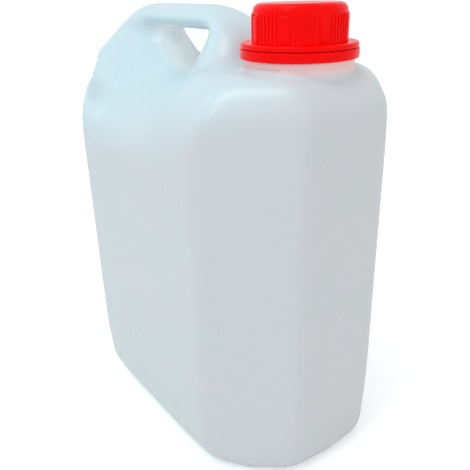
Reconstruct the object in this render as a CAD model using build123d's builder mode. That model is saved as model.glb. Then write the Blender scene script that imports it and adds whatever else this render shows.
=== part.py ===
from build123d import *
import os
from math import cos, radians, sin, sqrt, tan

# Five-litre blow-moulded jerrycan with a hollow carrying handle, a screw cap,
# its liner and the tamper ring that stays behind on the neck.
# Millimetres. Origin: centre of the footprint, on the ground. +X: neck end. +Z: up.

# Body, outer sizes
BODY_LENGTH = 210.0
BODY_WIDTH = 134.0
CORNER_CHAMFER = 38.8
CORNER_RADIUS = 12.0
FOOT_SIDE = 17.5
FOOT_CORNER = 9.0
FOOT_END = 11.0
FOOT_STEPS = 6
WALL = 1.6
BASE_RECESS = 2.0
BASE_RIM = 24.0
RECESS_TAPER = 20.0

# Shoulders round the neck
SHOULDER_HEIGHT = 234.0
NOSE_RADIUS = 22.0
BROW_RADIUS = 34.0

# Back of the can, which runs up into the handle; rises and drops count from the shoulder
HANDLE_RISE = 29.0
FLANK_RADIUS = 46.0
FLANK_SLOPE = 44.0
FLANK_DROP = 48.5
RIDGE_RADIUS = 20.0
RIDGE_FLAT = 2.0
BACK_RADIUS = 36.0
BACK_CORNER_SHARE = 1.4
ROUND_DROP = 7.0
ROUND_LOW = 0.23
ROUND_HIGH = 0.55
POST_SETBACK = 30.1
POST_REACH = 50.0
POST_NIP = 14.0
POST_RISE_POWER = 1.6
POST_FALL_POWER = 0.6

# Neck and the seat of the closure
NECK_SETBACK = 35.9
NECK_BORE = 17.5
NECK_WALL = 2.0
NECK_RISE = 27.1
NECK_CHAMFER = 0.6
COLLAR_RADIUS = 28.0
COLLAR_RISE = 5.0
BEAD_RADIUS = 25.0
BEAD_HEIGHT = 2.0
BEAD_LEAN = 2.0
GROOVE_DEPTH = 1.5

# Tamper ring, under the cap
RING_RADIUS = 30.0
RING_HEIGHT = 4.6
RING_WALL = 1.5
RING_LIP = 1.3
RING_PLAY = 0.3
SLIT = 0.5

# Liner and screw cap
LINER_RADIUS = 20.6
LINER_THICKNESS = 1.2
CAP_PLATE = 2.4
CAP_WALL = 2.2
THREAD_ROOM = 1.8
FLANGE_RADIUS = 29.6
FLANGE_HEIGHT = 2.5
FLANGE_ROUNDING = 1.1
CROWN_ROUNDING = 4.0
LUG_COUNT = 8
LUG_ANGLE = 31.0
LUG_WIDTH = 4.2
LUG_DEPTH = 0.9
RIBS_BETWEEN_LUGS = 7
RIB_WIDTH = 1.1
RIB_DEPTH = 0.5
RIB_ROOT = 0.4
RIB_TOP_MARGIN = 4.6

# Hand hole: half of the cutter, as sections at growing distances from the middle
# (distance, back top, back bottom, front bottom, front top), each corner an (x, z) pair
# counted from the front of the handle's post and from the shoulder
HAND_HOLE = [
    (0.0, (-102, 14.5), (-75, -5.5), (-58, -13), (-33, 14.5)),
    (8.0, (-105, 15.5), (-77, -5.5), (-57, -13), (-30, 15.5)),
    (16.0, (-119, 19.5), (-82, -7), (-54, -13.5), (-21, 19.5)),
    (24.0, (-143, 24.5), (-91, -12.5), (-44, -16), (-5, 23)),
    (32.0, (-165, 29), (-101, -19.5), (-34, -20), (9, 25)),
    (48.0, (-181, 40), (-107, -27), (-27, -28), (33, 30)),
    (62.0, (-189, 50), (-94, -36.5), (-27, -37), (45, 33)),
    (76.0, (-199, 56), (-85, -46), (-27, -46), (57, 36)),
]
BACK_TOP_RADIUS = 5.0
BACK_BOTTOM_RADIUS = 24.0
FRONT_BOTTOM_RADIUS = 8.0
FRONT_BOTTOM_GROWTH = 0.2
FRONT_TOP_RADIUS = 4.0

half_length = BODY_LENGTH / 2
half_width = BODY_WIDTH / 2
end_flat = half_width - CORNER_CHAMFER
chamfer_sum = half_length + end_flat
neck_x = half_length - NECK_SETBACK
post_foot = neck_x - POST_SETBACK
handle_height = SHOULDER_HEIGHT + HANDLE_RISE
flank_start = SHOULDER_HEIGHT - FLANK_DROP
round_start = SHOULDER_HEIGHT - ROUND_DROP
neck_top = SHOULDER_HEIGHT + NECK_RISE
collar_top = SHOULDER_HEIGHT + COLLAR_RISE
ring_top = collar_top + RING_HEIGHT


def arc_rise(radius, height):
    """Sideways reach of a quarter arc at a height above its centre."""
    return sqrt(max(radius**2 - height**2, 0.0))


def foot(z, radius, skin):
    """How far a side has drawn in at height z towards the base."""
    if z >= radius:
        return skin
    return radius - arc_rise(radius - skin, radius - z)


def flank(z, skin):
    """Half width of the back half of the can at height z."""
    centre_y = half_width - FLANK_RADIUS
    rise = z - flank_start
    arc_radius = FLANK_RADIUS - skin
    if rise <= 0:
        return half_width - foot(z, FOOT_SIDE, skin)
    slope = radians(FLANK_SLOPE)
    if rise <= arc_radius * sin(slope):
        return centre_y + arc_rise(arc_radius, rise)
    ridge_radius = RIDGE_RADIUS - skin
    ridge_centre = handle_height - RIDGE_RADIUS
    if z >= ridge_centre + ridge_radius * sin(slope):
        return RIDGE_FLAT + arc_rise(ridge_radius, z - ridge_centre)
    low = (centre_y + arc_radius * cos(slope), flank_start + arc_radius * sin(slope))
    high = (RIDGE_FLAT + ridge_radius * cos(slope), ridge_centre + ridge_radius * sin(slope))
    share = (z - low[1]) / (high[1] - low[1])
    return low[0] + share * (high[0] - low[0])


def brow(z, skin):
    """Half width of the can beside the neck at height z."""
    rise = z - (SHOULDER_HEIGHT - BROW_RADIUS)
    if rise <= 0:
        return half_width - foot(z, FOOT_SIDE, skin)
    return half_width - BROW_RADIUS + arc_rise(BROW_RADIUS - skin, rise)


def nose(z, foot_radius, skin):
    """How far the front end or its chamfers have drawn in at height z."""
    rise = z - (SHOULDER_HEIGHT - NOSE_RADIUS)
    if rise <= 0:
        return foot(z, foot_radius, skin)
    return NOSE_RADIUS - arc_rise(NOSE_RADIUS - skin, rise)


def back_end(z, skin):
    """Position of the back wall at height z."""
    rise = z - (handle_height - BACK_RADIUS)
    if rise <= 0:
        return foot(z, FOOT_END, skin) - half_length
    return BACK_RADIUS - half_length - arc_rise(BACK_RADIUS - skin, rise)


def post_front(z, skin):
    """Position of the front of the handle's post at height z."""
    rise = min((z + skin - SHOULDER_HEIGHT) / HANDLE_RISE, 1.0)
    fall = 1 - (1 - rise**POST_RISE_POWER) ** POST_FALL_POWER
    return post_foot - skin - POST_REACH * fall


def outline(z, corners):
    """Closed outline at height z, from (x, y, radius) corners and their mirror images."""
    mirrored = [(x, -y, radius) for x, y, radius in reversed(corners)]
    points = [(x, y) for x, y, _ in corners + mirrored]
    radii = [radius for _, _, radius in corners + mirrored]
    with BuildSketch(Plane.XY.offset(z)) as sketch:
        with BuildLine():
            FilletPolyline(*points, radius=radii, close=True)
        make_face()
    return sketch.sketch


def back_corners(z, skin):
    """The two corners at the back, on the chamfer that runs up into the handle."""
    wide = flank(z, skin)
    end = back_end(z, skin)
    upper_share = max(z - round_start, 0.0) / (handle_height - round_start)
    round_share = ROUND_LOW + (ROUND_HIGH - ROUND_LOW) * upper_share
    chamfer_line = chamfer_sum - foot(z, FOOT_CORNER, skin) * sqrt(2)
    end_half = min(chamfer_line - (half_length - foot(z, FOOT_END, skin)), wide - round_share * wide)
    drop = wide - end_half
    radius = min(CORNER_RADIUS - skin, BACK_CORNER_SHARE * drop)
    return [(end, end_half, radius), (end + drop, wide, radius)]


def body_section(z, skin):
    """Outline of the body below the shoulder."""
    wide = brow(z, skin)
    tip = half_length - nose(z, FOOT_END, skin)
    chamfer_line = chamfer_sum - nose(z, FOOT_CORNER, skin) * sqrt(2)
    radius = CORNER_RADIUS - skin
    front = [(chamfer_line - wide, wide, radius), (tip, chamfer_line - tip, radius)]
    return outline(z, back_corners(z, skin) + front)


def handle_section(z, skin):
    """Outline of the handle above the shoulder."""
    front = post_front(z, skin)
    at_front = flank(z, skin) * shoulder_taper(skin)
    nip = POST_NIP * flank(z, skin) / flank(SHOULDER_HEIGHT - skin, skin)
    ends = [(front - nip, at_front, nip), (front, at_front - nip, nip)]
    return outline(z, back_corners(z, skin) + ends)


def shoulder_taper(skin):
    """Width of the can at the handle's post over its width at the back."""
    height = SHOULDER_HEIGHT - skin
    back_x = back_corners(height, skin)[1][0]
    back_y = flank(height, skin)
    front_y = brow(height, skin)
    front_x = chamfer_sum - nose(height, FOOT_CORNER, skin) * sqrt(2) - front_y
    post_x = post_foot - skin - POST_NIP
    share = (post_x - back_x) / (front_x - back_x)
    return (back_y + share * (front_y - back_y)) / back_y


def hand_hole(skin):
    """Cutter for the hand hole and the hollows at its sides, grown by skin."""
    rows = [(-row[0], *row[1:]) for row in reversed(HAND_HOLE[1:])] + HAND_HOLE
    with BuildPart() as cutter:
        for distance, *corners in rows:
            front_radius = FRONT_BOTTOM_RADIUS + FRONT_BOTTOM_GROWTH * abs(distance)
            radii = [BACK_TOP_RADIUS, BACK_BOTTOM_RADIUS, front_radius, FRONT_TOP_RADIUS]
            placed = [(post_foot + x, SHOULDER_HEIGHT + z) for x, z in corners]
            with BuildSketch(Plane.XZ.offset(-distance)) as section:
                with BuildLine():
                    FilletPolyline(*placed, radius=radii, close=True)
                make_face()
                if skin:
                    offset(amount=skin, kind=Kind.ARC)
        loft()
    return cutter.part


def foot_heights(skin):
    """Heights of the sections round the foot, even steps of its arc and then straight up."""
    turns = [90 * step / FOOT_STEPS for step in range(FOOT_STEPS + 1)]
    rounded = [FOOT_SIDE - (FOOT_SIDE - skin) * cos(radians(turn)) for turn in turns]
    step_up = rounded[-1] - rounded[-2]
    return rounded + [rounded[-1] + step_up, rounded[-1] + 2 * step_up]


def can_form(skin):
    """Closed form of the whole body and handle: skin 0 outside, the wall inside."""
    arc_turns = (0, 15, 30, 45, 60, 75, 90)
    arc_start = SHOULDER_HEIGHT - NOSE_RADIUS
    arc_heights = [arc_start + (NOSE_RADIUS - skin) * sin(radians(turn)) for turn in arc_turns]
    rise = arc_start - flank_start
    shoulder_heights = [flank_start + rise * share for share in (0, 0.25, 0.5, 0.75)]
    handle_shares = (0, 0.14, 0.28, 0.44, 0.6, 0.76, 0.86, 0.94, 0.985, 1)
    with BuildPart() as shoulders:
        for z in shoulder_heights + arc_heights:
            add(body_section(z, skin))
        loft()
    with BuildPart() as handle:
        for share in handle_shares:
            add(handle_section(SHOULDER_HEIGHT - skin + HANDLE_RISE * share, skin))
        loft()
    foot_levels = foot_heights(skin)
    with BuildPart() as base:
        for z in foot_levels:
            add(body_section(z, skin))
        loft()
    cutter = hand_hole(skin)
    with BuildPart() as form:
        add(body_section(foot_levels[-1], skin))
        extrude(amount=flank_start - foot_levels[-1])
        add(base.part)
        add(shoulders.part)
        add(handle.part)
        add(cutter, mode=Mode.SUBTRACT)
        with BuildSketch(Plane.XY):
            add(body_section(flank_start, 0))
            offset(amount=skin - BASE_RIM, mode=Mode.REPLACE)
        extrude(amount=BASE_RECESS + skin, taper=RECESS_TAPER, mode=Mode.SUBTRACT)
    return form.part


outside = can_form(0)
inside = can_form(WALL)

# The can: one blown shell with its neck, the seat of the ring and the hollow handle
neck_root = NECK_BORE + NECK_WALL
neck_axis = Axis((neck_x, 0, 0), (0, 0, 1))
neck_foot = SHOULDER_HEIGHT - NOSE_RADIUS / 2
groove_radius = BEAD_RADIUS - GROOVE_DEPTH
bead_bottom = collar_top + RING_LIP + RING_PLAY
bead_top = bead_bottom + BEAD_HEIGHT
with BuildPart() as can:
    add(outside)
    with BuildSketch(Plane.XZ):
        with BuildLine():
            Polyline(
                (neck_x, neck_foot),
                (neck_x + COLLAR_RADIUS, neck_foot),
                (neck_x + COLLAR_RADIUS, collar_top),
                (neck_x + groove_radius, collar_top),
                (neck_x + groove_radius, bead_bottom),
                (neck_x + BEAD_RADIUS, bead_bottom),
                (neck_x + BEAD_RADIUS, bead_bottom + BEAD_HEIGHT / 2),
                (neck_x + BEAD_RADIUS - BEAD_LEAN, bead_top),
                (neck_x + neck_root, bead_top),
                (neck_x + neck_root, neck_top - NECK_CHAMFER),
                (neck_x + neck_root - NECK_CHAMFER, neck_top),
                (neck_x, neck_top),
                close=True,
            )
        make_face()
    revolve(axis=neck_axis)
    add(inside, mode=Mode.SUBTRACT)
    with BuildSketch(Plane.XY.offset(neck_foot)):
        with Locations((neck_x, 0)):
            Circle(NECK_BORE)
    extrude(amount=neck_top - neck_foot, mode=Mode.SUBTRACT)
can.part.label = "can"

# Tamper ring: stays on the collar, held down by the bead
ring_bore = groove_radius + RING_PLAY
ring_skirt = RING_RADIUS - RING_WALL
with BuildPart() as tamper_ring:
    with BuildSketch(Plane.XZ):
        with BuildLine():
            Polyline(
                (neck_x + ring_bore, collar_top),
                (neck_x + RING_RADIUS, collar_top),
                (neck_x + RING_RADIUS, ring_top),
                (neck_x + ring_skirt, ring_top),
                (neck_x + ring_skirt, collar_top + RING_LIP),
                (neck_x + ring_bore, collar_top + RING_LIP),
                close=True,
            )
        make_face()
    revolve(axis=neck_axis)
tamper_ring.part.label = "tamper_ring"

# Liner: disc that seals on the rim of the neck
with BuildPart() as liner:
    with BuildSketch(Plane.XY.offset(neck_top)):
        with Locations((neck_x, 0)):
            Circle(LINER_RADIUS)
    extrude(amount=LINER_THICKNESS)
liner.part.label = "liner"

# Screw cap: crown with grip ribs and lugs over a wide flange
cap_bore = neck_root + THREAD_ROOM
crown_radius = cap_bore + CAP_WALL
lug_radius = crown_radius + LUG_DEPTH
rib_middle = crown_radius + (RIB_DEPTH - RIB_ROOT) / 2
cap_bottom = ring_top + SLIT
flange_middle = cap_bottom + FLANGE_HEIGHT / 2
flange_top = cap_bottom + FLANGE_HEIGHT
plate_bottom = neck_top + LINER_THICKNESS
cap_top = plate_bottom + CAP_PLATE
rib_top = cap_top - RIB_TOP_MARGIN
rib_pitch = 360 / LUG_COUNT / (RIBS_BETWEEN_LUGS + 1)
with BuildPart() as cap:
    with BuildSketch(Plane.XZ):
        with BuildLine():
            Polyline(
                (neck_x, plate_bottom),
                (neck_x + cap_bore, plate_bottom),
                (neck_x + cap_bore, cap_bottom),
                (neck_x + FLANGE_RADIUS, cap_bottom),
                (neck_x + FLANGE_RADIUS, flange_top),
                (neck_x + crown_radius, flange_top),
                (neck_x + crown_radius, cap_top),
                (neck_x, cap_top),
                close=True,
            )
        make_face()
    revolve(axis=neck_axis)
    circles = cap.edges().filter_by(GeomType.CIRCLE)
    fillet(circles.group_by(Axis.Z)[-1], CROWN_ROUNDING)
    flange_edges = cap.edges().filter_by(GeomType.CIRCLE).filter_by(
        lambda edge: abs(edge.center().Z - flange_top) < FLANGE_HEIGHT / 2
    )
    fillet(flange_edges.sort_by(SortBy.RADIUS)[-1], FLANGE_ROUNDING)
    with BuildSketch(Plane.XY.offset(flange_middle)):
        with Locations((neck_x, 0)):
            with PolarLocations(0, LUG_COUNT, start_angle=LUG_ANGLE):
                with Locations((lug_radius / 2, 0)):
                    Rectangle(lug_radius, LUG_WIDTH)
            Circle(cap_bore + CAP_WALL / 2, mode=Mode.SUBTRACT)
    extrude(amount=rib_top - flange_middle)
    with BuildSketch(Plane.XY.offset(flange_middle)):
        with Locations((neck_x, 0)):
            for number in range(LUG_COUNT * (RIBS_BETWEEN_LUGS + 1)):
                if number % (RIBS_BETWEEN_LUGS + 1):
                    with PolarLocations(rib_middle, 1, start_angle=LUG_ANGLE + number * rib_pitch):
                        Rectangle(RIB_ROOT + RIB_DEPTH, RIB_WIDTH)
    extrude(amount=rib_top - flange_middle)
cap.part.label = "cap"

os.makedirs("parts", exist_ok=True)
export_step(can.part, "parts/can.step")
export_step(tamper_ring.part, "parts/tamper_ring.step")
export_step(liner.part, "parts/liner.step")
export_step(cap.part, "parts/cap.step")
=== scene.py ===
import logging
import math
from dataclasses import dataclass
from enum import Enum

import bmesh
import bpy
from bmesh.types import BMesh, BMFace, BMVert
from bpy.types import ID, Material, Node, NodeSocket, NodeTree, Object
from mathutils import Matrix, Vector


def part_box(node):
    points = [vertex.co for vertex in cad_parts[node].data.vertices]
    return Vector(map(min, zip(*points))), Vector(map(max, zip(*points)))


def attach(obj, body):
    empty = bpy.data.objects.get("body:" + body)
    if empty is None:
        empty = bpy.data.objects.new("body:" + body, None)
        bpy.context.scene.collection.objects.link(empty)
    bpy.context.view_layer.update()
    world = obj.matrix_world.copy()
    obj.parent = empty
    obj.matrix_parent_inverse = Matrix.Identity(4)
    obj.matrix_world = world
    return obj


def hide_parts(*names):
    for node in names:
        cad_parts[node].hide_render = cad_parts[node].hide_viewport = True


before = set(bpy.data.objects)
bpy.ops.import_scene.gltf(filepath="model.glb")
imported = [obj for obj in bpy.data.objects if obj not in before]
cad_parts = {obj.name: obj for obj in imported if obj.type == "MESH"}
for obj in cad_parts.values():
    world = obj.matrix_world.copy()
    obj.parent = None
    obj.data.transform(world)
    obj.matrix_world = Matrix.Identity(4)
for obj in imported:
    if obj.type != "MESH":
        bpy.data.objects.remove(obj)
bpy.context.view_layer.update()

# Small translucent jerrycan with a red screw cap, in a plain pale studio.
# Blender units are metres. Sizes in the classes are millimetres, turned by MM.

MM = 0.001
WHITE = "#FFFFFF"
SHARP_DEGREES = 42
log = logging.getLogger("jerrycan")
Triple = tuple[float, float, float]


class Body(Enum):
    """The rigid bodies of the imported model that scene.py adds pieces to."""

    CAN = "can"
    CAP = "cap"


class Side(Enum):
    """Which side of a wall a thread stands on."""

    OUTSIDE = 1
    INSIDE = -1


def linear(hex_colour: str) -> tuple[float, float, float, float]:
    """Turns an sRGB hex value into a linear colour, by the sRGB standard's curve.

    Args:
        hex_colour: Six hex digits, with or without a hash sign.

    Returns:
        Red, green, blue and an alpha of one.
    """
    digits = hex_colour.lstrip("#")
    shares = [int(digits[start:start + 2], 16) / 255 for start in (0, 2, 4)]
    red, green, blue = [s / 12.92 if s <= 0.04045 else ((s + 0.055) / 1.055) ** 2.4 for s in shares]
    return red, green, blue, 1.0


class Graph:
    """A node tree that is being built: of a material, a world or a pattern."""

    def __init__(self, tree: NodeTree) -> None:
        """Empties the tree.

        Args:
            tree: The tree to build.
        """
        self.tree = tree
        tree.nodes.clear()

    def add(self, kind: str, inputs: dict | None = None, **settings: object) -> Node:
        """Adds a node, sets its properties and fills or links its inputs.

        Args:
            kind: The node's type name.
            inputs: Values, sockets, or nodes for their first output, by the input's name or number.
            settings: The node's own properties.

        Returns:
            The new node.
        """
        node = self.tree.nodes.new(kind)
        for name, value in settings.items():
            setattr(node, name, value)
        for name, value in (inputs or {}).items():
            if isinstance(value, Node):
                value = next(output for output in value.outputs if output.enabled)
            if isinstance(value, NodeSocket):
                self.tree.links.new(value, node.inputs[name])
            else:
                node.inputs[name].default_value = value
        return node


def new_material(name: str) -> Material:
    """Makes a node material.

    Args:
        name: The material's name.

    Returns:
        The material.
    """
    material = bpy.data.materials.new(name)
    material.use_nodes = True
    return material


class Surface(Graph):
    """A plastic's material, with its colour and relief set out in object coordinates."""

    def __init__(self, name: str) -> None:
        """Starts the material.

        Args:
            name: The material's name.
        """
        self.material = new_material(name)
        super().__init__(self.material.node_tree)
        self.place = self.add("ShaderNodeTexCoord").outputs["Object"]

    def finish(self, colour: Node, height: Node, depth: float, gloss: dict[str, object]) -> Material:
        """Adds the relief, the one shader and the output.

        Args:
            colour: The colour over the surface.
            height: The relief over the surface.
            depth: Millimetres that a relief of one stands for.
            gloss: The shader's own even values, by the input's name.

        Returns:
            The finished material.
        """
        bump = self.add("ShaderNodeBump", {"Height": height, "Strength": 1.0, "Distance": depth * MM})
        shader = self.add("ShaderNodeBsdfPrincipled", {"Base Color": colour, "Normal": bump, **gloss})
        self.add("ShaderNodeOutputMaterial", {"Surface": shader})
        return self.material


def put_in_scene(name: str, data: ID) -> Object:
    """Links a new object at the origin that holds a mesh, a lamp or a camera.

    Args:
        name: The object's name.
        data: What it holds.

    Returns:
        The object.
    """
    piece = bpy.data.objects.new(name, data)
    bpy.context.scene.collection.objects.link(piece)
    return piece


def settle(name: str, shape: BMesh) -> Object:
    """Turns a working mesh into an object at the origin.

    Args:
        name: The name of the object and its mesh.
        shape: The working mesh, which is freed.

    Returns:
        The object.
    """
    mesh = bpy.data.meshes.new(name)
    shape.to_mesh(mesh)
    shape.free()
    return put_in_scene(name, mesh)


def apply_modifiers(piece: Object) -> None:
    """Swaps the object's mesh for its evaluated one and clears its modifiers.

    Args:
        piece: The object.
    """
    bpy.context.view_layer.update()
    graph = bpy.context.evaluated_depsgraph_get()
    mesh = bpy.data.meshes.new_from_object(piece.evaluated_get(graph))
    piece.modifiers.clear()
    piece.vertex_groups.clear()
    piece.data = mesh


def dress(piece: Object, material: Material) -> None:
    """Gives the piece its one finish, and smooth shading with sharp edges.

    Args:
        piece: The finished piece.
        material: Its finish.
    """
    piece.data.materials.clear()
    piece.data.materials.append(material)
    piece.data.shade_smooth()
    piece.data.set_sharp_from_angle(angle=math.radians(SHARP_DEGREES))


def join(name: str, pieces: list[Object]) -> Object:
    """Joins several objects at the origin into one.

    Args:
        name: The name of the joined object.
        pieces: The objects, which are removed.

    Returns:
        The joined object.
    """
    whole = bmesh.new()
    for piece in pieces:
        whole.from_mesh(piece.data)
        bpy.data.objects.remove(piece)
    return settle(name, whole)


def rounded_outline(corners: list[Triple], arc_steps: int) -> list[tuple[float, float]]:
    """Rounds the corners of a polyline.

    Args:
        corners: Radius from the axis, height and corner rounding of each point.
        arc_steps: Segments in each rounded corner.

    Returns:
        The points, with an arc at each rounded corner.
    """
    points: list[tuple[float, float]] = []
    for number, (across, height, rounding) in enumerate(corners):
        here = Vector((across, height))
        if rounding == 0:
            points.append((across, height))
            continue
        before = Vector(corners[number - 1][:2]) - here
        after = Vector(corners[(number + 1) % len(corners)][:2]) - here
        half = before.angle(after) / 2
        reach = rounding / math.tan(half)
        middle = here + (before.normalized() + after.normalized()).normalized() * rounding / math.sin(half)
        start = here + before.normalized() * reach - middle
        end = here + after.normalized() * reach - middle
        turn = start.angle_signed(end)
        for step in range(arc_steps + 1):
            angle = -turn * step / arc_steps
            spun = Matrix.Rotation(angle, 2) @ start + middle
            points.append((spun.x, spun.y))
    return points


def lathe(
    name: str, corners: list[Triple], axis_x: float, arc_steps: int = 6, steps: int = 160
) -> Object:
    """Turns an outline about an upright axis: a disc if it starts on the axis, and else a closed ring.

    Args:
        name: The object's name.
        corners: Radius, height and rounding of each corner, in millimetres.
        axis_x: Place of the axis along X, in millimetres.
        arc_steps: Segments in each rounded corner.
        steps: Segments round the axis.

    Returns:
        The turned solid.
    """
    turned = bmesh.new()
    rings: list[list[BMVert]] = []
    for across, height in rounded_outline(corners, arc_steps):
        if across == 0:
            rings.append([turned.verts.new(Vector((axis_x, 0, height)) * MM)])
            continue
        angles = [math.tau * step / steps for step in range(steps)]
        rings.append(
            [turned.verts.new(Vector((axis_x + across * math.cos(a), across * math.sin(a), height)) * MM)
             for a in angles]
        )
    is_ring = len(rings[0]) > 1
    pairs = list(zip(rings, rings[1:])) + ([(rings[-1], rings[0])] if is_ring else [])
    for low, high in pairs:
        for step in range(steps):
            following = (step + 1) % steps
            if len(low) == 1:
                turned.faces.new((low[0], high[following], high[step]))
            elif len(high) == 1:
                turned.faces.new((low[step], low[following], high[0]))
            else:
                turned.faces.new((low[step], low[following], high[following], high[step]))
    bmesh.ops.recalc_face_normals(turned, faces=turned.faces)
    return settle(name, turned)


@dataclass(frozen=True)
class SoftZone:
    """A soft round zone of another tint, whole within its core and gone at its reach."""

    colour: str
    centre: Triple
    squash: Triple
    core: float
    reach: float

    def share(self, surface: Surface) -> Node:
        """Marks the zone.

        Args:
            surface: The material that has the zone.

        Returns:
            The zone's share, from zero to one.
        """
        middle = Vector(self.centre) * MM
        offset = surface.add("ShaderNodeVectorMath", {0: surface.place, 1: middle}, operation="SUBTRACT")
        squashed = surface.add("ShaderNodeVectorMath", {0: offset, 1: self.squash}, operation="MULTIPLY")
        away = surface.add("ShaderNodeVectorMath", {0: squashed}, operation="LENGTH")
        ends = {"From Min": self.core * MM, "From Max": self.reach * MM, "To Min": 1.0, "To Max": 0.0}
        return surface.add("ShaderNodeMapRange", {"Value": away, **ends}, interpolation_type="SMOOTHSTEP")


@dataclass(frozen=True)
class HazyPolyethylene:
    """Natural high-density polyethylene, blown in a blasted mould: milky, soft sheen, faint flow lines."""

    name: str = "natural_polyethylene_blown"
    body_colour: str = "#CBD2D1"
    # painted light: the cyan of the sky light on the upper faces, painted into the colour
    painted_sky_colour: str = "#CCDBE0"
    haze_colour: str = "#D7CFD3"
    roughness: float = 0.27
    ior: float = 1.54
    milkiness: float = 0.2
    milk_depth: float = 3.0
    haze_size: float = 26.0
    flow_width: float = 3.0
    flow_length: float = 90.0
    flow_height: float = 0.03
    grain_size: float = 0.9
    grain_height: float = 0.012
    seam_half_width: float = 0.5
    seam_height: float = 0.05
    # where the painted sky light starts and is whole, and how it fades towards the neck's end
    upper_from: float = 178.0
    upper_to: float = 222.0
    upper_tilt: float = -0.25
    upper_back: float = 74.0
    upper_front: float = 110.0
    upper_least: float = 0.2
    # painted reflection: heights between which the ring's red is painted onto the neck
    painted_red_reflection_from: float = 230.5
    painted_red_reflection_to: float = 236.5
    # painted light: a pale tint that takes out the shade inside the hand hole's hollow
    hollow: SoftZone = SoftZone("#ECEEED", (-34.0, 0.0, 229.0), (0.8, 1.3, 1.0), 9.0, 24.0)
    # painted light: a near-white tint that takes out the shade under the handle's bar
    painted_bar_light: SoftZone = SoftZone("#F9FBFC", (-50.0, 0.0, 246.0), (0.6, 1.3, 1.0), 8.0, 22.0)
    # painted reflection: the pink that the red ring throws onto the neck, painted round the collar
    painted_red_reflection: SoftZone = SoftZone("#F8CDC9", (69.1, 0.0, 0.0), (1.0, 1.0, 0.0), 28.2, 29.8)

    def build(self) -> Material:
        """Builds the material.

        Returns:
            The finished material.
        """
        surface = Surface(self.name)
        gloss = {
            "Roughness": self.roughness,
            "IOR": self.ior,
            "Subsurface Weight": self.milkiness,
            "Subsurface Radius": (1.0, 1.0, 1.0),
            "Subsurface Scale": self.milk_depth * MM,
        }
        return surface.finish(self._colour(surface), self._relief(surface), 1.0, gloss)

    def _colour(self, surface: Surface) -> Node:
        """Lays painted light over a cloudy milky colour: painted sky light on the top, painted light that
        takes out the shade in the hand hole's hollow and under the bar, and a painted red reflection from
        the ring on the neck.

        Args:
            surface: The material so far.

        Returns:
            The colour.
        """
        cloud = surface.add(
            "ShaderNodeTexNoise", {"Vector": surface.place, "Scale": 1 / (self.haze_size * MM)}
        )
        # every layer but the cloud is painted light
        layers = (
            (cloud, self.haze_colour),
            (self._painted_sky_share(surface), self.painted_sky_colour),
            (self.hollow.share(surface), self.hollow.colour),
            (self.painted_bar_light.share(surface), self.painted_bar_light.colour),
            (self._painted_red_reflection(surface), self.painted_red_reflection.colour),
        )
        colour = linear(self.body_colour)
        for share, tint in layers:
            colour = surface.add(
                "ShaderNodeMix", {"Factor": share, 6: colour, 7: linear(tint)}, data_type="RGBA"
            )
        return colour

    def _painted_sky_share(self, surface: Surface) -> Node:
        """Marks where sky light is painted in: a cyan painted light, whole on the top and least at the
        neck's end.

        Args:
            surface: The material so far.

        Returns:
            Its share, from zero to one.
        """
        parts = surface.add("ShaderNodeSeparateXYZ", {"Vector": surface.place})
        level = surface.add(
            "ShaderNodeMath",
            {0: parts.outputs["X"], 1: self.upper_tilt, 2: parts.outputs["Z"]}, operation="MULTIPLY_ADD",
        )
        high = surface.add(
            "ShaderNodeMapRange",
            {"Value": level, "From Min": self.upper_from * MM, "From Max": self.upper_to * MM},
            interpolation_type="SMOOTHSTEP",
        )
        towards_back = surface.add(
            "ShaderNodeMapRange",
            {
                "Value": parts.outputs["X"], "From Min": self.upper_back * MM,
                "From Max": self.upper_front * MM, "To Min": 1.0, "To Max": self.upper_least,
            },
            interpolation_type="SMOOTHSTEP",
        )
        return surface.add("ShaderNodeMath", {0: high, 1: towards_back}, operation="MULTIPLY")

    def _painted_red_reflection(self, surface: Surface) -> Node:
        """Marks where a painted red reflection from the ring lies on the milky neck.

        Args:
            surface: The material so far.

        Returns:
            The share, from zero to one.
        """
        near = self.painted_red_reflection.share(surface)
        height = surface.add("ShaderNodeSeparateXYZ", {"Vector": surface.place}).outputs["Z"]
        high = surface.add(
            "ShaderNodeMapRange",
            {"Value": height, "From Min": self.painted_red_reflection_from * MM, "From Max": self.painted_red_reflection_to * MM},
            interpolation_type="SMOOTHSTEP",
        )
        return surface.add("ShaderNodeMath", {0: near, 1: high}, operation="MULTIPLY")

    def _relief(self, surface: Surface) -> Node:
        """Adds up the blasted grain, the upright flow lines and the parting seam.

        Args:
            surface: The material so far.

        Returns:
            The relief, in millimetres.
        """
        grain = surface.add(
            "ShaderNodeTexNoise", {"Vector": surface.place, "Scale": 1 / (self.grain_size * MM)}
        )
        stretch = (1.0, 1.0, self.flow_width / self.flow_length)
        stretched = surface.add("ShaderNodeMapping", {"Vector": surface.place, "Scale": stretch})
        flow = surface.add("ShaderNodeTexNoise", {"Vector": stretched, "Scale": 1 / (self.flow_width * MM)})
        fine = surface.add("ShaderNodeMath", {0: grain, 1: self.grain_height}, operation="MULTIPLY")
        lines = surface.add(
            "ShaderNodeMath", {0: flow, 1: self.flow_height, 2: fine}, operation="MULTIPLY_ADD"
        )
        across = surface.add("ShaderNodeSeparateXYZ", {"Vector": surface.place}).outputs["Y"]
        off_seam = surface.add("ShaderNodeMath", {0: across}, operation="ABSOLUTE")
        seam = surface.add(
            "ShaderNodeMapRange",
            {
                "Value": off_seam, "From Min": 0.0, "From Max": self.seam_half_width * MM,
                "To Min": self.seam_height, "To Max": 0.0,
            },
            interpolation_type="SMOOTHSTEP",
        )
        return surface.add("ShaderNodeMath", {0: lines, 1: seam}, operation="ADD")


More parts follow.
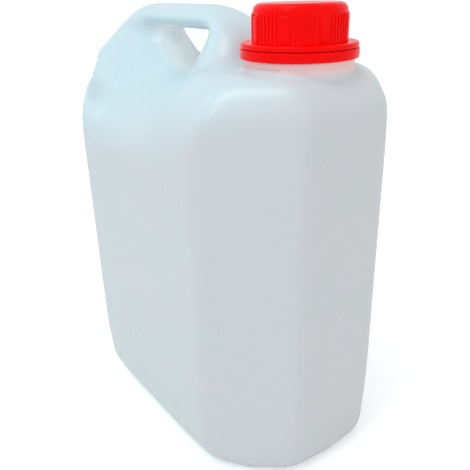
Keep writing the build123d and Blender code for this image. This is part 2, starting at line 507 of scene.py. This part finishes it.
@dataclass(frozen=True)
class MouldedPolypropylene:
    """Red polypropylene, injection moulded: even strong colour, soft gloss, faint mould grain."""

    name: str = "red_polypropylene_moulded"
    colour: str = "#FF0000"
    worn_colour: str = "#FA0000"
    roughness: float = 0.19
    ior: float = 1.49
    specular: float = 0.1
    patch_size: float = 14.0
    grain_size: float = 0.7
    grain_depth: float = 0.008

    def build(self) -> Material:
        """Builds the material.

        Returns:
            The finished material.
        """
        surface = Surface(self.name)
        patch = surface.add(
            "ShaderNodeTexNoise", {"Vector": surface.place, "Scale": 1 / (self.patch_size * MM)}
        )
        colour = surface.add(
            "ShaderNodeMix",
            {"Factor": patch, 6: linear(self.colour), 7: linear(self.worn_colour)},
            data_type="RGBA",
        )
        grain = surface.add(
            "ShaderNodeTexNoise", {"Vector": surface.place, "Scale": 1 / (self.grain_size * MM)}
        )
        gloss = {"Roughness": self.roughness, "IOR": self.ior, "Specular IOR Level": self.specular}
        return surface.finish(colour, grain, self.grain_depth, gloss)


@dataclass(frozen=True)
class FoamedPolyethylene:
    """White foamed polyethylene sheet, punched: matt, with fine closed cells."""

    name: str = "white_polyethylene_foam"
    colour: str = "#ECECE6"
    cell_colour: str = "#DADAD2"
    roughness: float = 0.75
    cell_size: float = 0.6
    cell_depth: float = 0.05

    def build(self) -> Material:
        """Builds the material.

        Returns:
            The finished material.
        """
        surface = Surface(self.name)
        cells = surface.add(
            "ShaderNodeTexVoronoi", {"Vector": surface.place, "Scale": 1 / (self.cell_size * MM)}
        )
        colour = surface.add(
            "ShaderNodeMix",
            {"Factor": cells, 6: linear(self.colour), 7: linear(self.cell_colour)}, data_type="RGBA",
        )
        return surface.finish(colour, cells, self.cell_depth, {"Roughness": self.roughness})


class Pattern(Graph):
    """A Geometry Nodes tree with named inputs, run once to give a plain mesh."""

    def __init__(self, name: str) -> None:
        """Starts an empty tree.

        Args:
            name: Name of the tree and of the mesh that it gives.
        """
        self.name = name
        super().__init__(bpy.data.node_groups.new(name, "GeometryNodeTree"))
        self.tree.interface.new_socket("Geometry", in_out="INPUT", socket_type="NodeSocketGeometry")
        self.tree.interface.new_socket("Geometry", in_out="OUTPUT", socket_type="NodeSocketGeometry")
        self.entry = self.tree.nodes.new("NodeGroupInput")
        self.values: dict[str, float | int] = {}

    def size(self, name: str, value: float | int) -> NodeSocket:
        """Adds a named input.

        Args:
            name: The input's name.
            value: A whole number or a length in metres or an angle in radians.

        Returns:
            The socket that carries it inside the tree.
        """
        kind = "NodeSocketInt" if isinstance(value, int) else "NodeSocketFloat"
        socket = self.tree.interface.new_socket(name, in_out="INPUT", socket_type=kind)
        self.values[socket.identifier] = value
        return self.entry.outputs[name]

    def run(self, geometry: Node, material: Material) -> Object:
        """Realises the geometry as an object with the material.

        Args:
            geometry: The node that gives the pattern.
            material: The finish of the result.

        Returns:
            The object, with a plain mesh.
        """
        realised = self.add("GeometryNodeRealizeInstances", {"Geometry": geometry})
        dressed = self.add("GeometryNodeSetMaterial", {"Geometry": realised, "Material": material})
        self.add("NodeGroupOutput", {"Geometry": dressed})
        piece = put_in_scene(self.name, bpy.data.meshes.new(self.name))
        modifier = piece.modifiers.new(self.name, "NODES")
        modifier.node_group = self.tree
        for identifier, value in self.values.items():
            modifier[identifier] = value
        apply_modifiers(piece)
        return piece


@dataclass
class Closure:
    """Sizes that the neck, ring and cap share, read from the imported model."""

    axis_x: float
    ring_bottom: float
    ring_top: float
    ring_radius: float
    cap_bottom: float
    cap_top: float
    flange_radius: float
    liner_bottom: float
    liner_top: float
    neck_radius: float = 19.5
    neck_bore: float = 17.5
    pitch: float = 4.0
    thread_start: float = 2.4

    @classmethod
    def from_frame(cls) -> "Closure":
        """Reads the boxes of the ring, liner and cap.

        Returns:
            The shared sizes, in millimetres.
        """
        ring = [corner / MM for corner in map(Vector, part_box("tamper_ring"))]
        cap = [corner / MM for corner in map(Vector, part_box("cap"))]
        liner = [corner / MM for corner in map(Vector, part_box("liner"))]
        return cls(
            axis_x=(ring[0].x + ring[1].x) / 2,
            ring_bottom=ring[0].z,
            ring_top=ring[1].z,
            ring_radius=(ring[1].x - ring[0].x) / 2,
            cap_bottom=cap[0].z,
            cap_top=cap[1].z,
            flange_radius=(cap[1].x - cap[0].x) / 2,
            liner_bottom=liner[0].z,
            liner_top=liner[1].z,
        )


@dataclass
class Thread:
    """One screw thread, swept along its helix and tapered at both ends."""

    name: str
    closure: Closure
    wall_radius: float
    foot_height: float
    turns: float
    side: Side
    depth: float = 1.4
    sunk: float = 0.05
    root_width: float = 2.4
    crest_width: float = 1.0
    steps_per_turn: int = 72
    tapered_turn: float = 0.125
    end_share: float = 0.3

    def build(self, material: Material) -> Object:
        """Sweeps the thread.

        Args:
            material: Finish of the wall that it stands on.

        Returns:
            The thread in its place.
        """
        pattern = Pattern(self.name)
        middle = self.wall_radius + self.side.value * (self.depth / 2 - self.sunk)
        radius = pattern.size("Radius", middle * MM)
        rise = pattern.size("Rise", self.turns * self.closure.pitch * MM)
        turns = pattern.size("Turns", float(self.turns))
        helix = pattern.add(
            "GeometryNodeCurveSpiral",
            {
                "Resolution": self.steps_per_turn, "Rotations": turns, "Start Radius": radius,
                "End Radius": radius, "Height": rise,
            },
        )
        level = pattern.add("GeometryNodeSetCurveNormal", {"Curve": helix}, mode="Z_UP")
        root = pattern.size("Root width", self.root_width * MM)
        crest = pattern.size("Crest width", self.crest_width * MM)
        depth = pattern.size("Depth", self.depth * MM)
        section = pattern.add(
            "GeometryNodeCurvePrimitiveQuadrilateral",
            {"Height": depth, "Bottom Width": root, "Top Width": crest, "Offset": 0.0},
            mode="TRAPEZOID",
        )
        quarter = (0.0, 0.0, math.radians(90 * self.side.value))
        turned = pattern.add("GeometryNodeTransform", {"Geometry": section, "Rotation": quarter})
        swept = pattern.add(
            "GeometryNodeCurveToMesh",
            {"Curve": level, "Profile Curve": turned, "Scale": self._ends(pattern), "Fill Caps": True},
        )
        foot = (self.closure.axis_x * MM, 0.0, self.foot_height * MM)
        placed = pattern.add("GeometryNodeTransform", {"Geometry": swept, "Translation": foot})
        return pattern.run(placed, material)

    def _ends(self, pattern: Pattern) -> Node:
        """Returns a scale that tapers the two ends.

        Args:
            pattern: The tree that sweeps the thread.

        Returns:
            The scale along the helix.
        """
        along = pattern.add("GeometryNodeSplineParameter")
        back = pattern.add("ShaderNodeMath", {0: 1.0, 1: along}, operation="SUBTRACT")
        nearest = pattern.add("ShaderNodeMath", {0: along, 1: back}, operation="MINIMUM")
        return pattern.add(
            "ShaderNodeMapRange",
            {
                "Value": nearest, "From Min": 0.0, "From Max": self.tapered_turn / self.turns,
                "To Min": self.end_share, "To Max": 1.0,
            },
        )


@dataclass(frozen=True)
class Fade:
    """A share that runs from none at one place to whole at another."""

    none: float
    whole: float

    def at(self, place: float) -> float:
        """Returns the share at a place, held between zero and one."""
        return min(max((place - self.none) / (self.whole - self.none), 0), 1)

    def eased(self, place: float) -> float:
        """Returns the share at a place, with soft ends."""
        share = self.at(place)
        return share * share * (3 - 2 * share)


@dataclass
class Can:
    """The blown can: soft shell with a hollow handle, and its crisp neck.

    Each Fade says where a softening or a swelling starts and is whole, in millimetres.
    """

    closure: Closure
    wall: float = 1.6
    collar_radius: float = 28.0
    shoulder_height: float = 234.0
    cut_above_shoulder: float = 2.0
    cut_margin: float = 3.0
    upper_part: float = 200.0
    gap: float = 0.2
    weld: float = 0.002
    bore_margin: float = 0.1
    voxel: float = 2.3
    smooth_factor: float = 0.5
    soft_steps: int = 8
    rim_steps: int = 58
    crease_steps: int = 117
    edge_places: tuple[tuple[float, float], ...] = ((66.2, 67.0), (105.0, 28.2))
    foot_top: float = 36.0
    foot_level: Fade = Fade(36.0, 24.0)
    foot_edge: Fade = Fade(26.0, 14.0)
    rim_neck_margin: float = 6.0
    rim_level: Fade = Fade(186.0, 194.0)
    rim_front: Fade = Fade(62.0, 48.0)
    rim_inner: Fade = Fade(14.0, 22.0)
    rim_ridge: Fade = Fade(128.0, 114.0)
    ridge_bend: float = 228.0
    ridge_slope: float = 1.1
    ridge_sum: float = 132.0
    ridge_near: Fade = Fade(12.0, 4.0)
    ridge_low: Fade = Fade(208.0, 216.0)
    ridge_high: Fade = Fade(244.0, 236.0)
    ridge_crispness: float = 0.75
    crease_low: Fade = Fade(184.0, 192.0)
    crease_high: Fade = Fade(226.0, 216.0)
    crease_front: Fade = Fade(48.0, 34.0)
    crease_back: Fade = Fade(-62.0, -48.0)
    crease_inner: Fade = Fade(26.0, 34.0)
    bulge: float = 0.010
    bulge_low: Fade = Fade(8.0, 68.0)
    bulge_high: Fade = Fade(232.0, 192.0)
    collar_inside: float = 2.2
    collar_outside: float = 0.9
    collar_band: float = 0.6
    collar_lean: Fade = Fade(0.75, 0.35)
    groove_radius: float = 23.5
    bead_radius: float = 25.0
    bead_slope: float = 2.0
    bead_foot: float = 1.6
    bead_height: float = 2.0
    crisp_edge: float = 0.3
    bead_edge: float = 0.4
    eased_edge: float = 0.5
    inner_edge: float = 0.6
    bead_root: float = 0.8
    thread_turns: float = 2.75

    @property
    def cut_height(self) -> float:
        """Height at which the soft shell ends and the crisp neck starts."""
        return self.shoulder_height + self.cut_above_shoulder

    @property
    def neck_axis(self) -> Vector:
        """The foot of the neck's axis, in metres."""
        return Vector((self.closure.axis_x, 0, 0)) * MM

    def build(self, material: Material) -> Object:
        """Builds the can.

        Args:
            material: Its milky plastic.

        Returns:
            The can as one piece, dressed and riding on its body.
        """
        closure = self.closure
        shell = self._shell()
        neck = self._neck()
        start = closure.cap_bottom + closure.thread_start
        thread = Thread("neck_thread", closure, closure.neck_radius, start, self.thread_turns, Side.OUTSIDE)
        can = join("can_moulding", [shell, neck, thread.build(material)])
        dress(can, material)
        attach(can, Body.CAN.value)
        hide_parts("can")
        return can

    def _near_neck(self, x: float, y: float, reach: float) -> bool:
        """Tells whether a place lies within reach of the neck's axis, all in millimetres."""
        return math.hypot(x - self.closure.axis_x, y) < reach

    def _faces_near_neck(self, shape: BMesh, reach: float) -> list[BMFace]:
        """Lists the faces within reach of the neck's axis, in millimetres."""
        return [
            face for face in shape.faces
            if all(self._near_neck(v.co.x / MM, v.co.y / MM, reach) for v in face.verts)
        ]

    def _outer_skin(self) -> Object:
        """Copies the outside of the solid can, closed at the collar.

        Returns:
            An object with the closed skin.
        """
        skin = bmesh.new()
        skin.from_mesh(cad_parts["can"].data)
        bmesh.ops.remove_doubles(skin, verts=skin.verts, dist=self.weld * MM)
        self._cut_neck(skin, self.closure.ring_bottom - self.gap)
        bore = [
            face for face in self._faces_near_neck(skin, self.closure.neck_bore + self.bore_margin)
            if face.calc_center_median().z > self.upper_part * MM
        ]
        bmesh.ops.delete(skin, geom=bore, context="FACES")
        lowest = min(skin.verts, key=lambda vert: vert.co.z)
        outer = {lowest}
        waiting = [lowest]
        while waiting:
            vert = waiting.pop()
            for edge in vert.link_edges:
                other = edge.other_vert(vert)
                if other not in outer:
                    outer.add(other)
                    waiting.append(other)
        bmesh.ops.delete(skin, geom=[v for v in skin.verts if v not in outer], context="VERTS")
        rim = [edge for edge in skin.edges if edge.is_boundary]
        bmesh.ops.holes_fill(skin, edges=rim, sides=0)
        return settle("can_skin", skin)

    def _cut_neck(self, shape: BMesh, height: float) -> None:
        """Cuts away what stands above a height round the neck.

        Args:
            shape: The mesh to cut.
            height: Height of the cut, in millimetres.
        """
        near = self._faces_near_neck(shape, self.collar_radius + self.cut_margin)
        foot = (self.shoulder_height + self.gap) * MM
        near = [face for face in near if max(v.co.z for v in face.verts) > foot]
        verts = {v for face in near for v in face.verts}
        edges = {edge for face in near for edge in face.edges}
        bmesh.ops.bisect_plane(
            shape, geom=list(verts) + list(edges) + near,
            plane_co=(0, 0, height * MM), plane_no=(0, 0, 1), clear_outer=True,
        )

    def _soft_weight(self, x: float, y: float, z: float) -> float:
        """Says how strongly the whole skin is evened: least on the ridge behind the hollows."""
        near = self.ridge_near.at(abs(y - x - self.ridge_sum))
        return 1 - self.ridge_crispness * near * self.ridge_low.at(z) * self.ridge_high.at(z)

    def _rim_weight(self, x: float, y: float, z: float) -> float:
        """Says how strongly the rims are softened: round the hollows and at the foot's corners.

        Args:
            x: Place along the can, in millimetres.
            y: Distance from the middle plane, in millimetres.
            z: Height, in millimetres.

        Returns:
            A share from zero to one.
        """
        if z < self.foot_top:
            to_edge = min(math.hypot(abs(x) - along, y - across) for along, across in self.edge_places)
            return self.foot_edge.at(to_edge) * self.foot_level.at(z)
        if self._near_neck(x, y, self.collar_radius + self.rim_neck_margin):
            return 0.0
        back = self.rim_ridge.at(y - x + self.ridge_slope * max(z - self.ridge_bend, 0))
        return self.rim_level.at(z) * self.rim_front.at(x) * back * self.rim_inner.at(y)

    def _crease_weight(self, x: float, y: float, z: float) -> float:
        """Says how strongly the ridge that runs down the flank is softened once more."""
        along = self.crease_front.at(x) * self.crease_back.at(x)
        return self.crease_low.at(z) * self.crease_high.at(z) * along * self.crease_inner.at(y)

    def _shell(self) -> Object:
        """Makes the soft hollow shell below the collar.

        Returns:
            The shell, open at the collar.
        """
        shell = self._outer_skin()
        remesh = shell.modifiers.new("even", "REMESH")
        remesh.mode = "VOXEL"
        remesh.voxel_size = self.voxel * MM * 1
        apply_modifiers(shell)
        softenings = (
            ("softness", self.soft_steps, self._soft_weight),
            ("rims", self.rim_steps, self._rim_weight),
            ("creases", self.crease_steps, self._crease_weight),
        )
        for name, steps, weight in softenings:
            group = shell.vertex_groups.new(name=name)
            for vert in shell.data.vertices:
                share = weight(vert.co.x / MM, abs(vert.co.y) / MM, vert.co.z / MM)
                group.add([vert.index], share, "REPLACE")
            soften = shell.modifiers.new(name, "SMOOTH")
            soften.factor = self.smooth_factor
            soften.iterations = steps
            soften.vertex_group = name
        apply_modifiers(shell)
        for vert in shell.data.vertices:
            height = vert.co.z / MM
            swell = 1 + self.bulge * self.bulge_low.eased(height) * self.bulge_high.eased(height)
            vert.co.x *= swell
            vert.co.y *= swell
        self._true_collar(shell)
        self._open_collar(shell)
        thicken = shell.modifiers.new("wall", "SOLIDIFY")
        thicken.thickness = self.wall * MM
        thicken.offset = -1
        apply_modifiers(shell)
        return shell

    def _true_collar(self, shell: Object) -> None:
        """Sets the upright wall of the collar back on its true radius after the softening.

        Args:
            shell: The closed soft shell.
        """
        normals = [vert.normal.copy() for vert in shell.data.vertices]
        band = (self.cut_height - self.collar_band) * MM
        for vert, normal in zip(shell.data.vertices, normals):
            spoke = Vector((vert.co.x, vert.co.y, 0)) - self.neck_axis
            away = spoke.length / MM - self.collar_radius
            is_wall = -self.collar_inside < away < self.collar_outside
            if vert.co.z < self.upper_part * MM or not is_wall:
                continue
            share = 1.0 if vert.co.z > band else self.collar_lean.at(normal.z)
            vert.co = vert.co + spoke.normalized() * (-away * share) * MM

    def _open_collar(self, shell: Object) -> None:
        """Cuts the shell open inside the collar and trues the cut ring.

        Args:
            shell: The closed soft shell.
        """
        shape = bmesh.new()
        shape.from_mesh(shell.data)
        self._cut_neck(shape, self.cut_height)
        for vert in shape.verts:
            if vert.is_boundary:
                spoke = Vector((vert.co.x, vert.co.y, 0)) - self.neck_axis
                on_ring = self.neck_axis + spoke.normalized() * self.collar_radius * MM
                vert.co = Vector((on_ring.x, on_ring.y, self.cut_height * MM))
        shape.to_mesh(shell.data)
        shape.free()

    def _neck(self) -> Object:
        """Turns the collar, the bead that holds the ring, and the threaded neck.

        Returns:
            The neck, a closed ring.
        """
        closure = self.closure
        foot = self.shoulder_height - self.wall
        inside = self.collar_radius - self.wall
        bead_foot = closure.ring_bottom + self.bead_foot
        bead_top = bead_foot + self.bead_height
        corners = [
            (closure.neck_bore, foot, self.inner_edge),
            (inside, foot, 0.0),
            (inside, self.cut_height, 0.0),
            (self.collar_radius, self.cut_height, 0.0),
            (self.collar_radius, closure.ring_bottom, self.eased_edge),
            (self.groove_radius, closure.ring_bottom, self.crisp_edge),
            (self.groove_radius, bead_foot, self.crisp_edge),
            (self.bead_radius, bead_foot, self.crisp_edge),
            (self.bead_radius, (bead_foot + bead_top) / 2, self.bead_edge),
            (self.bead_radius - self.bead_slope, bead_top, self.eased_edge),
            (closure.neck_radius, bead_top, self.bead_root),
            (closure.neck_radius, closure.liner_bottom, self.eased_edge),
            (closure.neck_bore, closure.liner_bottom, self.eased_edge),
        ]
        return lathe("can_neck", corners, closure.axis_x)


@dataclass
class TamperRing:
    """The ring that stays on the collar when the cap first turns."""

    closure: Closure
    bore_radius: float = 23.8
    lip: float = 1.3
    skirt: float = 1.5
    foot_edge: float = 0.5
    top_edge: float = 0.4
    crisp_edge: float = 0.3
    inner_edge: float = 0.2

    def build(self, material: Material) -> Object:
        """Turns the ring.

        Args:
            material: Its red plastic.

        Returns:
            The ring, dressed and riding on the can.
        """
        closure = self.closure
        inner = closure.ring_radius - self.skirt
        lip_top = closure.ring_bottom + self.lip
        corners = [
            (self.bore_radius, closure.ring_bottom, self.crisp_edge),
            (closure.ring_radius, closure.ring_bottom, self.foot_edge),
            (closure.ring_radius, closure.ring_top, self.top_edge),
            (inner, closure.ring_top, self.inner_edge),
            (inner, lip_top, self.top_edge),
            (self.bore_radius, lip_top, self.crisp_edge),
        ]
        ring = lathe("ring_moulding", corners, closure.axis_x)
        dress(ring, material)
        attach(ring, Body.CAN.value)
        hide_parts("tamper_ring")
        return ring


@dataclass
class ScrewCap:
    """The ribbed screw cap with its flange, lugs and inside thread."""

    closure: Closure
    bore_radius: float = 21.3
    crown_radius: float = 23.5
    flange_height: float = 2.5
    flange_rounding: float = 1.1
    crown_rounding: float = 4.0
    crown_root: float = 1.0
    plate_root: float = 0.6
    bore_edge: float = 0.4
    crisp_edge: float = 0.2
    edge_steps: int = 8
    lip_radius: float = 28.2
    lip_wall: float = 0.8
    lip_depth: float = 1.1
    lip_root: float = 0.1
    grip_sunk: float = 0.5
    grip_top_margin: float = 4.6
    lug_count: int = 8
    lug_angle: float = 31.0
    lug_width: float = 4.2
    lug_depth: float = 0.9
    lug_root: float = 1.0
    lug_slope: float = 1.1
    lug_edge: float = 0.35
    lug_edge_steps: int = 3
    ribs_between_lugs: int = 7
    rib_width: float = 1.1
    rib_depth: float = 0.6
    rib_sides: int = 10
    rib_steps: int = 24
    rib_fade: float = 0.8
    rib_end_share: float = 0.35
    thread_turns: float = 1.75

    @property
    def flange_top(self) -> float:
        """Height of the flange's upper face."""
        return self.closure.cap_bottom + self.flange_height

    @property
    def grip_foot(self) -> float:
        """Height at which the ribs and lugs start, sunk a little in the flange."""
        return self.flange_top - self.grip_sunk

    @property
    def grip_top(self) -> float:
        """Height at which the ribs and lugs end."""
        return self.closure.cap_top - self.grip_top_margin

    def build(self, material: Material) -> Object:
        """Builds the cap.

        Args:
            material: Its red plastic.

        Returns:
            The cap as one piece, dressed and riding on its body.
        """
        closure = self.closure
        start = closure.cap_bottom + closure.thread_start + closure.pitch / 2
        thread = Thread("cap_thread", closure, self.bore_radius, start, self.thread_turns, Side.INSIDE)
        parts = [self._body(), self._ribs(material), self._lugs(material), thread.build(material)]
        cap = join("cap_moulding", parts)
        dress(cap, material)
        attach(cap, Body.CAP.value)
        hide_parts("cap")
        return cap

    def _body(self) -> Object:
        """Turns the plate, skirt and flange.

        Returns:
            The plain cap.
        """
        closure = self.closure
        lip_inside = self.lip_radius - self.lip_wall
        lip_foot = closure.cap_bottom - self.lip_depth
        corners = [
            (0.0, closure.liner_top, 0.0),
            (self.bore_radius, closure.liner_top, self.plate_root),
            (self.bore_radius, closure.cap_bottom, self.bore_edge),
            (lip_inside, closure.cap_bottom, self.crisp_edge),
            (lip_inside, lip_foot, self.crisp_edge),
            (self.lip_radius, lip_foot, self.crisp_edge),
            (self.lip_radius, closure.cap_bottom, self.lip_root),
            (closure.flange_radius, closure.cap_bottom, self.crisp_edge),
            (closure.flange_radius, self.flange_top, self.flange_rounding),
            (self.crown_radius, self.flange_top, self.crown_root),
            (self.crown_radius, closure.cap_top, self.crown_rounding),
            (0.0, closure.cap_top, 0.0),
        ]
        return lathe("cap_body", corners, closure.axis_x, arc_steps=self.edge_steps)

    def _set_round(
        self, pattern: Pattern, places: NodeSocket, radius: float, lift: float, copied: dict
    ) -> Node:
        """Sets copies of a shape in a circle about the cap's axis.

        Args:
            pattern: The tree that holds the shape.
            places: How many places the circle has.
            radius: Its radius, in millimetres.
            lift: Height of the circle, in millimetres.
            copied: The instancing node's inputs that say what is copied.

        Returns:
            The copies.
        """
        reach = pattern.size("Radius", radius * MM)
        circle = pattern.add("GeometryNodeMeshCircle", {"Vertices": places, "Radius": reach})
        copies = pattern.add("GeometryNodeInstanceOnPoints", {"Points": circle, **copied})
        return pattern.add(
            "GeometryNodeTransform",
            {
                "Geometry": copies, "Translation": (self.closure.axis_x * MM, 0.0, lift * MM),
                "Rotation": (0.0, 0.0, math.radians(self.lug_angle)),
            },
        )

    def _ribs(self, material: Material) -> Object:
        """Sets round-backed ribs about the crown, with gaps for the lugs.

        Args:
            material: The cap's finish.

        Returns:
            The ribs in place.
        """
        step = self.ribs_between_lugs + 1
        pattern = Pattern("cap_ribs")
        places = pattern.size("Places", self.lug_count * step)
        width = pattern.size("Width", self.rib_width / 2 * MM)
        rod = pattern.add(
            "GeometryNodeCurvePrimitiveLine",
            {"Start": (0, 0, self.grip_foot * MM), "End": (0, 0, self.grip_top * MM)},
        )
        fine = pattern.add("GeometryNodeResampleCurve", {"Curve": rod, "Count": self.rib_steps})
        along = pattern.add("GeometryNodeSplineParameter").outputs["Length"]
        whole = (self.grip_top - self.grip_foot) * MM
        fading = pattern.add(
            "ShaderNodeMapRange",
            {
                "Value": along, "From Min": whole - self.rib_fade * MM, "From Max": whole,
                "To Min": 1.0, "To Max": self.rib_end_share,
            },
            interpolation_type="SMOOTHSTEP",
        )
        section = pattern.add(
            "GeometryNodeCurvePrimitiveCircle", {"Resolution": self.rib_sides, "Radius": width}
        )
        rib = pattern.add(
            "GeometryNodeCurveToMesh",
            {"Curve": fine, "Profile Curve": section, "Scale": fading, "Fill Caps": True},
        )
        number = pattern.add("GeometryNodeInputIndex")
        place = pattern.add("FunctionNodeIntegerMath", {0: number, 1: step}, operation="MODULO")
        is_rib = pattern.add(
            "FunctionNodeCompare", {2: place, 3: 0}, data_type="INT", operation="NOT_EQUAL"
        )
        middle = self.crown_radius + self.rib_depth - self.rib_width / 2
        copied = {"Selection": is_rib, "Instance": rib}
        return pattern.run(self._set_round(pattern, places, middle, 0.0, copied), material)

    def _lugs(self, material: Material) -> Object:
        """Sets the broad grip lugs about the crown, each with a sloping top.

        Args:
            material: The cap's finish.

        Returns:
            The lugs in place.
        """
        pattern = Pattern("cap_lugs")
        places = pattern.size("Lugs", self.lug_count)
        depth = self.lug_depth + self.lug_root
        height = self.grip_top - self.grip_foot
        block = pattern.add("GeometryNodeMeshCube", {"Size": Vector((depth, self.lug_width, height)) * MM})
        place = pattern.add("GeometryNodeInputPosition")
        parts = pattern.add("ShaderNodeSeparateXYZ", {"Vector": place})
        is_top, is_outer = (
            pattern.add(
                "FunctionNodeCompare", {0: parts.outputs[axis], 1: 0.0},
                data_type="FLOAT", operation="GREATER_THAN",
            )
            for axis in "ZX"
        )
        both = pattern.add("FunctionNodeBooleanMath", {0: is_top, 1: is_outer}, operation="AND")
        sloped = pattern.add(
            "GeometryNodeSetPosition",
            {"Geometry": block, "Selection": both, "Offset": (0.0, 0.0, -self.lug_slope * MM)},
        )
        number = pattern.add("GeometryNodeInputIndex")
        turn = pattern.add(
            "ShaderNodeMath", {0: number, 1: math.tau / self.lug_count}, operation="MULTIPLY"
        )
        facing = pattern.add("ShaderNodeCombineXYZ", {"Z": turn})
        middle = self.crown_radius + self.lug_depth - depth / 2
        copied = {"Instance": sloped, "Rotation": facing}
        placed = self._set_round(pattern, places, middle, self.grip_foot + height / 2, copied)
        piece = pattern.run(placed, material)
        bevel = piece.modifiers.new("edges", "BEVEL")
        bevel.width = self.lug_edge * MM
        bevel.segments = self.lug_edge_steps
        apply_modifiers(piece)
        return piece


@dataclass
class Liner:
    """The sealing disc in the cap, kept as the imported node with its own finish."""

    def build(self, material: Material) -> Object:
        """Dresses the liner.

        Args:
            material: Its foam.

        Returns:
            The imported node.
        """
        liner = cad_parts["liner"]
        for slot in liner.material_slots:
            slot.material = material
        if not liner.material_slots:
            liner.data.materials.append(material)
        return liner


@dataclass(frozen=True)
class Softbox:
    """One soft rectangular lamp: its middle, what it faces, its size and its power in watts."""

    name: str
    place: Triple
    target: Triple
    width: float
    height: float
    power: float
    colour: str = WHITE

    def hang(self) -> None:
        """Hangs the lamp."""
        data = bpy.data.lights.new(self.name, "AREA")
        data.shape = "RECTANGLE"
        data.size = self.width * MM
        data.size_y = self.height * MM
        data.energy = self.power
        data.color = linear(self.colour)[:3]
        lamp = put_in_scene(self.name, data)
        lamp.location = Vector(self.place) * MM
        aim = Vector(self.target) - Vector(self.place)
        lamp.rotation_euler = aim.to_track_quat("-Z", "Y").to_euler()


@dataclass
class Studio:
    """A plain pale floor, soft light and the camera of the photograph."""

    camera_place: Triple = (293.226, -203.205, 273.617)
    camera_right: Triple = (0.59020309, 0.80691946, -0.02326587)
    camera_up: Triple = (-0.31307859, 0.25536925, 0.91475042)
    lens: float = 43.68
    sensor: float = 36.0
    clip_start: float = 10.0
    floor_size: float = 120000.0
    floor_colour: str = "#F4F5F6"
    floor_glow: float = 0.32
    world_colour: str = "#FAFDFF"
    world_strength: float = 0.79
    sky_colour: str = "#A4EBF8"
    sky_strength: float = 0.5
    sky_spread: float = 60.0
    sky_from: Triple = (-0.4, -0.5, 0.8)
    softboxes: tuple[Softbox, ...] = (
        Softbox("softbox_above", (40, -330, 1100), (50, -20, 200), 260, 560, 1.6),
        Softbox("softbox_left", (295, -880, 900), (75, -55, 220), 260, 660, 1.6, "#DCF2FA"),
        Softbox("softbox_front", (1100, 150, 420), (80, 0, 130), 700, 500, 0.75, "#FFD8D2"),
    )

    def build(self) -> None:
        """Builds the floor, the lights, the world and the camera."""
        self._camera()
        self._floor()
        self._world()
        self._sky_lamp()
        for softbox in self.softboxes:
            softbox.hang()
        bpy.context.scene.view_settings.view_transform = "Standard"

    def _camera(self) -> None:
        """Sets the camera where the photograph was taken from."""
        data = bpy.data.cameras.new("photo_camera")
        data.lens = self.lens
        data.sensor_width = self.sensor
        data.clip_start = self.clip_start * MM
        camera = put_in_scene("photo_camera", data)
        right = Vector(self.camera_right).normalized()
        back = right.cross(Vector(self.camera_up)).normalized()
        up = back.cross(right)
        turn = Matrix((right, up, back)).transposed().to_4x4()
        camera.matrix_world = Matrix.Translation(Vector(self.camera_place) * MM) @ turn
        bpy.context.scene.camera = camera

    def _floor(self) -> None:
        """Lays the floor, pale to the camera and still shadowed."""
        plane = bmesh.new()
        bmesh.ops.create_grid(plane, x_segments=1, y_segments=1, size=self.floor_size / 2 * MM)
        floor = settle("floor", plane)
        material = new_material("painted_floor")
        graph = Graph(material.node_tree)
        paint = graph.add("ShaderNodeBsdfDiffuse", {"Color": linear(self.floor_colour)})
        glow = graph.add("ShaderNodeEmission", {"Color": linear(WHITE), "Strength": self.floor_glow})
        path = graph.add("ShaderNodeLightPath")
        share = graph.add("ShaderNodeMixShader", {0: path.outputs["Is Camera Ray"], 2: glow})
        both = graph.add("ShaderNodeAddShader", {0: paint, 1: share})
        graph.add("ShaderNodeOutputMaterial", {"Surface": both})
        floor.data.materials.append(material)

    def _world(self) -> None:
        """Lights the scene evenly, white where the camera sees past the floor."""
        world = bpy.data.worlds.new("studio")
        world.use_nodes = True
        graph = Graph(world.node_tree)
        path = graph.add("ShaderNodeLightPath")
        even, seen = (
            graph.add("ShaderNodeBackground", {"Color": linear(colour), "Strength": strength})
            for colour, strength in ((self.world_colour, self.world_strength), (WHITE, 1.0))
        )
        shaders = {1: even, 2: seen}
        mix = graph.add("ShaderNodeMixShader", {0: path.outputs["Is Camera Ray"], **shaders})
        graph.add("ShaderNodeOutputWorld", {"Surface": mix})
        bpy.context.scene.world = world

    def _sky_lamp(self) -> None:
        """Adds one very soft distant lamp from above and to the left, so that forms read."""
        data = bpy.data.lights.new("sky_lamp", "SUN")
        data.energy = self.sky_strength
        data.angle = math.radians(self.sky_spread)
        data.color = linear(self.sky_colour)[:3]
        lamp = put_in_scene("sky_lamp", data)
        lamp.rotation_euler = (-Vector(self.sky_from)).to_track_quat("-Z", "Y").to_euler()


def main() -> None:
    """Builds the studio and every piece, and reports them."""
    logging.basicConfig(level=logging.INFO, format="%(name)s: %(message)s")
    Studio().build()
    closure = Closure.from_frame()
    milky = HazyPolyethylene().build()
    red = MouldedPolypropylene().build()
    foam = FoamedPolyethylene().build()
    pieces = [
        Can(closure).build(milky),
        TamperRing(closure).build(red),
        ScrewCap(closure).build(red),
        Liner().build(foam),
    ]
    for piece in pieces:
        log.info("%s: %d faces", piece.name, len(piece.data.polygons))


if __name__ == "__main__":
    main()
